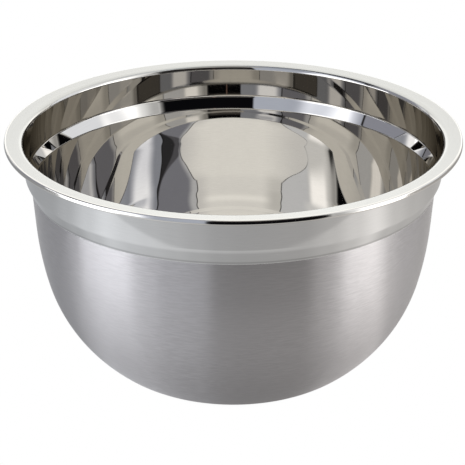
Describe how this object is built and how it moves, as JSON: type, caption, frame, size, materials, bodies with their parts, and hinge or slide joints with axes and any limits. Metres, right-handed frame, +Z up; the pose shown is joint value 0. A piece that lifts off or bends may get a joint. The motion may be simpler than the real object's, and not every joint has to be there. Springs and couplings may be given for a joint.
{
  "type": "mixing bowl",
  "caption": "Deep round stainless mixing bowl with a stepped shoulder, upright collar, wide pouring flange with a hemmed edge, and a flat base.",
  "frame": {"origin": "centre of the underside of the flat base, so the bowl stands on z = 0", "axes": "+Z up along the bowl's axis of revolution, towards the open mouth; +X and +Y are interchangeable, because the bowl is the same all the way round"},
  "size_m": [0.26, 0.26, 0.1435],
  "materials": {
    "stainless_sheet": "mirror polish inside and on the flange and collar, fine satin brushing round the outside of the body"
  },
  "bodies": {
    "root": {"bowl_shell": "stainless_sheet"}
  },
  "joints": []
}
